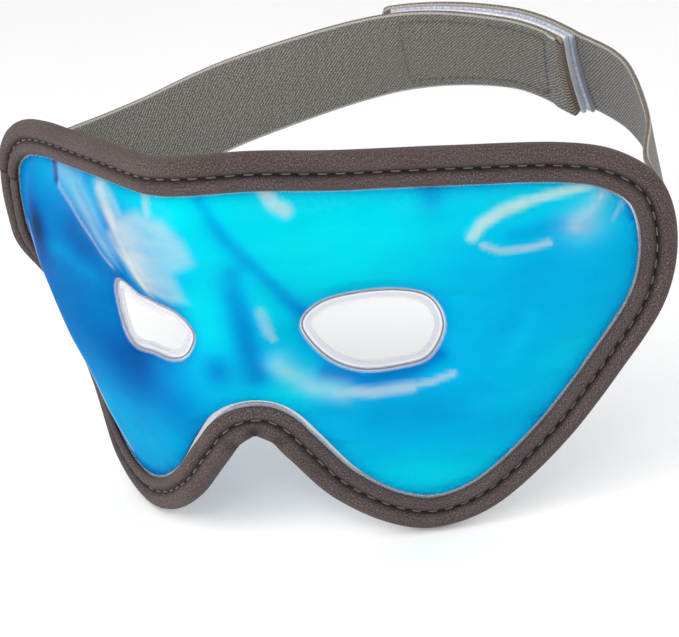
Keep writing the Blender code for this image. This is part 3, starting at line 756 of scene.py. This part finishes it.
def make_binding():
    """The fabric folded over the films' edge: its folded section led round the outline."""
    section = BINDING_HALF[::-1] + [(d, -h, g) for d, h, g in BINDING_HALF[1:]]
    run = arc_lengths(inset(OUTLINE, GROOVE_INSET))
    at = run[:-1]
    u, v = OUTLINE[:, 0], OUTLINE[:, 1]
    apex = np.exp(-(u / NOTCH_FOLDS_REACH) ** 2) * (v < -15)
    past_join = at - at[np.argmin(np.hypot(u - JOIN_POINT[0], v - JOIN_POINT[1]))]
    join = JOIN_STEP * smooth_step(past_join, -0.3, 0.6) * smooth_step(-past_join, -9.0, 8.0)
    shade_at_join = np.exp(-(past_join / 0.45) ** 2)
    folds = (0.5 + 0.5 * np.cos(2 * math.pi * u / NOTCH_FOLDS_PITCH)) ** 1.5 * apex
    grid, uv, groove = [], [], []
    across = 0.0
    for k, (distance, height, deep) in enumerate(section):
        side = math.copysign(1, height) if height else 0
        outer = math.exp(-((distance - 1.5) / 2.2) ** 2)
        by_seam = math.exp(-((distance - GROOVE_INSET) / 2.0) ** 2)
        dimples = DIMPLE * np.cos(2 * math.pi * at / STITCH_PITCH) * by_seam
        lumps = LUMP * np.array([noise.noise(Vector((a * 0.09, distance * 0.2, side * 5.0))) for a in at])
        pucker = -NOTCH_FOLDS_DEPTH * folds * outer
        lift = height + side * (dimples + pucker + lumps * (abs(height) > 1)) * (deep < 0.95)
        lift = lift + side * join
        grid.append(mask_points(inset(OUTLINE, distance + 0.15 * lumps), lift))
        if k:
            across += math.dist(section[k][:2], section[k - 1][:2])
        uv.append(np.stack([at, np.full(len(at), across)], 1))
        # The groove attribute carries painted shade: in the groove, along the join's step and in the folds at
        # the nose notch.
        groove.append(np.clip(deep + 0.8 * shade_at_join + 0.8 * folds * outer, 0, 1))
    verts = np.stack(grid, 1).reshape(-1, 3)
    uv_points = np.stack(uv, 1).reshape(-1, 2)
    n, m = len(at), len(section)
    faces = strip_faces(n, m, closed_rows=True, closed_columns=True)
    seam_uv = loop_uv(uv_points, n, m, run[-1], across + 1.0)
    piece = new_object('edge_binding', verts, faces, knit_material(), seam_uv,
                       {'groove': np.stack(groove, 1).ravel()})
    place(piece, 'binding', 'binding_fabric', 'mask')
    make_binding_seam(run)


def make_binding_seam(run):
    """Lockstitches in the binding's groove, front and back; run is the length along the groove."""
    thread = thread_material('binding_thread', srgb(66, 60, 58), srgb(124, 116, 112))
    groove = inset(OUTLINE, GROOVE_INSET)
    closed = np.vstack([groove, groove[:1]])
    count = round(run[-1] / STITCH_PITCH)
    steps = np.linspace(0, 1, 7)
    height = 0.86 + 0.42 * np.sin(math.pi * steps) ** 0.6
    for name, cad, side in (('binding_stitches_front', 'binding_needle_thread', 1),
                            ('binding_stitches_rear', 'binding_bobbin_thread', -1)):
        paths = []
        for i in range(count):
            where = ((run[-1] / count) * i + STITCH_LENGTH * steps) % run[-1]
            flat = np.stack([np.interp(where, run, closed[:, k]) for k in (0, 1)], 1)
            paths.append(mask_points(flat, side * height))
        place(tubes(name, paths, BINDING_THREAD_RADIUS, thread), cad, 'sewing_thread', 'mask')


def loop_uv(points, n, m, round_length, round_across):
    """Corner coordinates for a closed tube, running on past its seams instead of wrapping."""
    grid = points.reshape(n, m, 2)
    out = np.empty((n * m * 4, 2))
    k = 0
    for i in range(n):
        for j in range(m):
            for a, b in ((i, j), (i, j + 1), (i + 1, j + 1), (i + 1, j)):
                value = grid[a % n, b % m].copy()
                value += (round_length if a == n else 0, round_across if b == m else 0)
                out[k] = value
                k += 1
    return out


# ---------------------------------------------------------------- strap
def loop_samples():
    """Distance, point, up and outward vectors along the strap loop, from inside the binding at the left
    root, where the distance is 0, to inside it at the right one."""
    roots = mask_points(np.array([(-ROOT[0], ROOT[1]), ROOT]), np.full(2, ROOT_HEIGHT))
    knots = [np.array(k, float) for k in ([*roots[0], 0], *LOOP, [*roots[1], 0])]
    knots = [2 * knots[0] - knots[1]] + knots + [2 * knots[-1] - knots[-2]]
    samples = [spline_point(*knots[i - 1:i + 3], t / LOOP_STEPS)
               for i in range(1, len(knots) - 2) for t in range(LOOP_STEPS)]
    samples = np.array(samples + [knots[-2]])
    points = samples[:, :3]
    along = np.gradient(points, axis=0)
    along /= np.linalg.norm(along, axis=1)[:, None]
    level = np.stack([-along[:, 1], along[:, 0], 0 * along[:, 0]], 1)
    level /= np.linalg.norm(level, axis=1)[:, None]
    rise = np.cross(level, along)
    rise *= np.sign(rise[:, 2:])
    lean = np.radians(samples[:, 3:])
    up = rise * np.cos(lean) + level * np.sin(lean)
    out = level * np.cos(lean) - rise * np.sin(lean)
    distance = np.concatenate([[0], np.cumsum(np.linalg.norm(np.diff(points, axis=0), axis=1))])
    past = along[[0, -1]] * ROOT_REACH
    points = np.concatenate([points[:1] - past[:1], points, points[-1:] + past[1:]])
    distance = np.concatenate([[-ROOT_REACH], distance, distance[-1:] + ROOT_REACH])
    up, out = (np.pad(vectors, ((1, 1), (0, 0)), 'edge') for vectors in (up, out))
    return distance, points, up, out


STRAP = loop_samples()
STRAP_LENGTH = STRAP[0][-2]


def strap_points(at, across, out):
    """Points of the strap, whose weave slants round the tab's end."""
    at, across, out = np.broadcast_arrays(np.asarray(at, float), across, out)
    at = at - across * TAB_SLANT * np.exp(-((at - TAB_END_AT) / SLANT_REACH) ** 2)
    point, up, outward = (np.stack([np.interp(at, STRAP[0], values[:, k]) for k in range(3)], -1)
                          for values in STRAP[1:])
    return point + up * across[..., None] + outward * out[..., None]


def left_middle(at):
    return -STRAP_OFFSET * smooth_step(at, 0, OFFSET_REACH)


def right_middle(at):
    return STRAP_OFFSET * smooth_step(STRAP_LENGTH - at, 0, OFFSET_REACH)


def ribbon(name, start, end, width, thickness, middle, material, rounding=0.6, inner_extra=None,
           corner_start=0.0, corner_end=0.0, columns=28):
    """A woven band along the loop, with rounded edges, rounded corners and a slight wave; inner_extra is
    the added thickness of a hem, on the side towards the head."""
    rows = max(2, round(end - start)) + 1
    at = np.linspace(start, end, rows)
    half, deep = width / 2, thickness / 2
    turn = np.linspace(0, math.pi / 2, 4)
    flat = np.linspace(-1, 1, columns)
    inner = [(a * (half - rounding), -1.0) for a in flat]
    right_edge = [(half - rounding + rounding * math.sin(a), -math.cos(a)) for a in turn[1:]]
    right_edge += [(half - rounding + rounding * math.cos(a), math.sin(a)) for a in turn[1:-1]]
    outer = [(-a * (half - rounding), 1.0) for a in flat]
    left_edge = [(-x, -y) for x, y in right_edge]
    section = inner + right_edge + outer + left_edge
    verts, uv, edge, from_end = [], [], [], []
    for a in at:
        shrink = 1.0
        for corner, distance in ((corner_start, a - start), (corner_end, end - a)):
            if corner and distance < corner:
                reach = math.sqrt(max(corner ** 2 - (corner - distance) ** 2, 0))
                shrink = min(shrink, 1 - (corner - reach) / half)
        fade = min(1.0, (a - start + 2) / 12, (end - a + 2) / 12) if inner_extra is None else 0.0
        for x, y in section:
            wave = 0.22 * noise.noise(Vector((a * 0.05, x * 0.05, 2.0)))
            wave += 0.05 * noise.noise(Vector((a * 0.4, x * 0.4, 5.0)))
            extra = inner_extra(a) if inner_extra and y < 0 else 0.0
            verts.append((a, x * shrink, middle(a) + y * (deep + extra) + wave * fade))
            uv.append((a, x + (60 if y > 0 else 0)))      # the outer face has its own weave
            edge.append(half * shrink - abs(x * shrink))
            from_end.append(end - a if inner_extra else STRAP_WIDTH)      # only a hemmed end is overcast
    verts = np.array(verts)
    points = strap_points(verts[:, 0], verts[:, 1], verts[:, 2])
    faces = strip_faces(rows, len(section), closed_columns=True, caps=True)
    return new_object(name, points, faces, material, uv, {'edge': edge, 'from_end': from_end}, sharp=55)


def stitch_line(start, end, across_start, across_end, out, pitch=2.6, length=1.9):
    """Paths of the stitches of one straight seam on the strap."""
    span = math.hypot(end - start, across_end - across_start)
    count = max(1, round(span / pitch))
    paths = []
    for i in range(count):
        t = (i + np.linspace(0.1, 0.1 + length / pitch, 6)) / count
        arch = np.sin(math.pi * np.linspace(0, 1, 6)) ** 0.7
        at = start + (end - start) * t
        paths.append(strap_points(at, across_start + (across_end - across_start) * t, out(at, arch)))
    return paths


def hem(at):
    """How much thicker the tab is at its hem, whose end thins."""
    return HEM_DEPTH * (smooth_step(at, TAB_END_AT - HEM - 1.0, 2.0)
                        - 0.5 * smooth_step(at, TAB_END_AT - HEM_ROUND, HEM_ROUND))


def make_straps():
    root_left, root_right = strap_points([0.0, STRAP_LENGTH], 0, 0) * MM
    in_left, in_right = strap_points([ROOT_BEND, STRAP_LENGTH - ROOT_BEND], 0, 0) * MM
    seam, past_seam = strap_points([RIGHT_END_AT, RIGHT_END_AT + TAB_BEND], 0, 0) * MM
    at_left_root = ('mask', 'left_strap', root_left, in_left)
    at_right_root = ('mask', 'right_strap', root_right, in_right)
    at_seam = ('left_strap', 'left_tab', seam, past_seam)
    make_bands(at_left_root, at_right_root, at_seam)
    thread = make_tapes(at_seam)
    make_root_tacks(at_left_root, at_right_root, thread)


def make_bands(at_left_root, at_right_root, at_seam):
    elastic = elastic_material('strap_elastic')
    size = (STRAP_WIDTH, STRAP_THICKNESS)
    left = ribbon('strap_left_band', -ROOT_REACH, RIGHT_END_AT, *size, left_middle, elastic)
    tab = ribbon('strap_left_tab_band', RIGHT_END_AT, TAB_END_AT, *size, left_middle, elastic,
                 inner_extra=hem, corner_end=1.5)
    right = ribbon('strap_right_band', RIGHT_END_AT, STRAP_LENGTH + ROOT_REACH, *size, right_middle, elastic,
                   corner_start=2.5)
    place(left, 'strap_left', 'strap_elastic', bend=at_left_root)
    place(tab, 'strap_left_tab', 'strap_elastic', bend=at_seam)
    place(right, 'strap_right', 'strap_elastic', bend=at_right_root)


def make_tapes(at_seam):
    """The tab's hook tape and the right half's loop tape, with their seams, whose thread it returns."""
    half = STRAP_THICKNESS / 2
    start = RIGHT_END_AT + TAPE_MARGIN
    hook_end, loop_end = TAB_END_AT + HOOK_TAPE_PAST, TAB_END_AT + LOOP_TAPE_PAST
    off_middle = (STRAP_OFFSET - half) / 2
    size = (TAPE_WIDTH, TAPE_THICKNESS)
    hook_cloth = tape_material('hook_tape', srgb(206, 207, 216), srgb(250, 250, 255), 2.4, 0.4)
    hook = ribbon('hook_tape_band', start, hook_end, *size, lambda at: -off_middle, hook_cloth, rounding=0.3)
    loop_cloth = tape_material('loop_tape', srgb(150, 152, 174), srgb(226, 228, 244), 1.8, 0.6)
    loops = ribbon('loop_tape_band', start, loop_end, *size, lambda at: off_middle, loop_cloth, rounding=0.4)
    place(hook, 'hook_tape', 'hook_tape', bend=at_seam)
    place(loops, 'loop_tape', 'loop_tape', 'right_strap')

    thread = thread_material('strap_thread', srgb(46, 43, 40), srgb(118, 112, 105))
    first, side = start + SEAM_MARGIN, SEAM_ACROSS
    for name, cad, sign, middle, last, bend, body in (
            ('hook_tape_stitches', 'hook_tape_thread', -1, left_middle, TAB_END_AT - HEM - SEAM_MARGIN,
             at_seam, None),
            ('loop_tape_stitches', 'loop_tape_thread', 1, right_middle, loop_end - SEAM_MARGIN, None,
             'right_strap')):
        def out(at, arch):
            return middle(at) + sign * (half - 0.1 + 0.3 * arch)
        corners = ((first, last, side, side), (first, last, -side, -side), (first, first, -side, side),
                   (last, last, -side, side))
        paths = [path for line in corners for path in stitch_line(*line, out)]
        place(tubes(name, paths, STRAP_THREAD_RADIUS, thread), cad, 'sewing_thread', body, bend)
    return thread


def make_root_tacks(at_left_root, at_right_root, thread):
    """A zigzag across each root."""
    t = np.linspace(0, 1, 12 * TACK_ROWS + 1)
    zigzag = np.abs((2 * TACK_ROWS * t) % 2 - 1)
    near, far = TACK_REACH
    for name, cad, root, step, middle, bend in (
            ('root_tack_left_zigzag', 'root_tack_left', 0.0, 1, left_middle, at_left_root),
            ('root_tack_right_zigzag', 'root_tack_right', STRAP_LENGTH, -1, right_middle, at_right_root)):
        at = root + step * (near + (far - near) * zigzag)
        path = strap_points(at, TACK_ACROSS * (2 * t - 1), middle(at) + STRAP_THICKNESS / 2 + 0.25)
        place(tubes(name, [path], TACK_THREAD_RADIUS, thread), cad, 'sewing_thread', bend=bend)


# ---------------------------------------------------------------- studio
CAMERA_AZIMUTH, CAMERA_ELEVATION, CAMERA_ROLL = (math.radians(a) for a in (26.41, 25.86, -5.09))
CAMERA_DISTANCE = 443.07
CAMERA_TARGET = Vector((0, 40, 10))
CAMERA_SLIDE = (8.75, -18.83)   # to the right and up
FLOOR_DROP = 0.6
FLOOR_REACH = 3000.0
WALL_AT, WALL_BEND, WALL_HEIGHT = 1200.0, 500.0, 2500.0


def make_camera():
    back = Vector((math.sin(CAMERA_AZIMUTH) * math.cos(CAMERA_ELEVATION),
                   -math.cos(CAMERA_AZIMUTH) * math.cos(CAMERA_ELEVATION), math.sin(CAMERA_ELEVATION)))
    level = Vector((math.cos(CAMERA_AZIMUTH), math.sin(CAMERA_AZIMUTH), 0))
    upright = back.cross(level)
    right = level * math.cos(CAMERA_ROLL) + upright * math.sin(CAMERA_ROLL)
    up = upright * math.cos(CAMERA_ROLL) - level * math.sin(CAMERA_ROLL)
    spot = CAMERA_TARGET + back * CAMERA_DISTANCE + right * CAMERA_SLIDE[0] + up * CAMERA_SLIDE[1]
    data = bpy.data.cameras.new('camera')
    data.lens, data.sensor_width, data.clip_start = 85, 36, 0.01       # millimetres, and metres
    camera = bpy.data.objects.new('camera', data)
    camera.matrix_world = Matrix((right, up, back)).transposed().to_4x4()
    camera.location = spot * MM
    bpy.context.scene.collection.objects.link(camera)
    bpy.context.scene.camera = camera


def make_floor():
    """A pale floor that curves up into a wall behind the mask."""
    made, tree, shader = new_material('studio_floor', Roughness=0.9, Specular_IOR_Level=0.1)
    place_on = node(tree, 'ShaderNodeTexCoord').outputs['Object']
    mottle = texture(tree, 'Noise', place_on, Scale=6.0, Detail=2.0)
    tree.links.new(ramp(tree, mottle, [(0.0, grey(0.93)), (1.0, grey(0.96))]), shader.inputs['Base Color'])
    low = cad_box[0][2] / MM - FLOOR_DROP
    bend_from = WALL_AT - WALL_BEND
    profile = [(-FLOOR_REACH, low), (bend_from, low)]
    profile += [(bend_from + WALL_BEND * math.sin(a), low + WALL_BEND * (1 - math.cos(a)))
                for a in np.linspace(0.1, math.pi / 2, 12)]
    profile += [(WALL_AT, low + WALL_HEIGHT)]
    verts = [(x, y, z) for y, z in profile for x in (-FLOOR_REACH, FLOOR_REACH)]
    new_object('studio_floor', verts, strip_faces(len(profile), 2), made)


def area_light(name, place, aim, size, power, colour=(1, 1, 1)):
    data = bpy.data.lights.new(name, 'AREA')
    data.shape, data.size, data.size_y = 'RECTANGLE', size[0] * MM, size[1] * MM
    data.energy, data.color = power, colour
    light = bpy.data.objects.new(name, data)
    light.location = Vector(place) * MM
    light.rotation_euler = (Vector(place) - Vector(aim)).to_track_quat('Z', 'Y').to_euler()
    light.visible_camera = False
    bpy.context.scene.collection.objects.link(light)


def make_lights():
    world = bpy.data.worlds.new('studio_world')
    world.use_nodes = True
    background = world.node_tree.nodes['Background']
    background.inputs['Color'].default_value = grey(1)
    background.inputs['Strength'].default_value = 0.85
    bpy.context.scene.world = world
    area_light('key', (-170, -470, 600), (0, 30, 0), (500, 500), 2.6)
    area_light('fill', (500, -500, 350), (20, 30, 0), (600, 500), 1.6)
    area_light('low_front', (-420, -330, 20), (-20, 0, 20), (300, 160), 0.6)
    area_light('window_right', (160, -420, 420), (20, 0, 0), (50, 80), 0.3)
    area_light('window_left', (-330, -420, 330), (-40, 0, 0), (40, 90), 0.2)
    bpy.context.scene.view_settings.view_transform = 'Standard'


make_gel_pack()
make_binding()
make_straps()
make_camera()
make_floor()
make_lights()
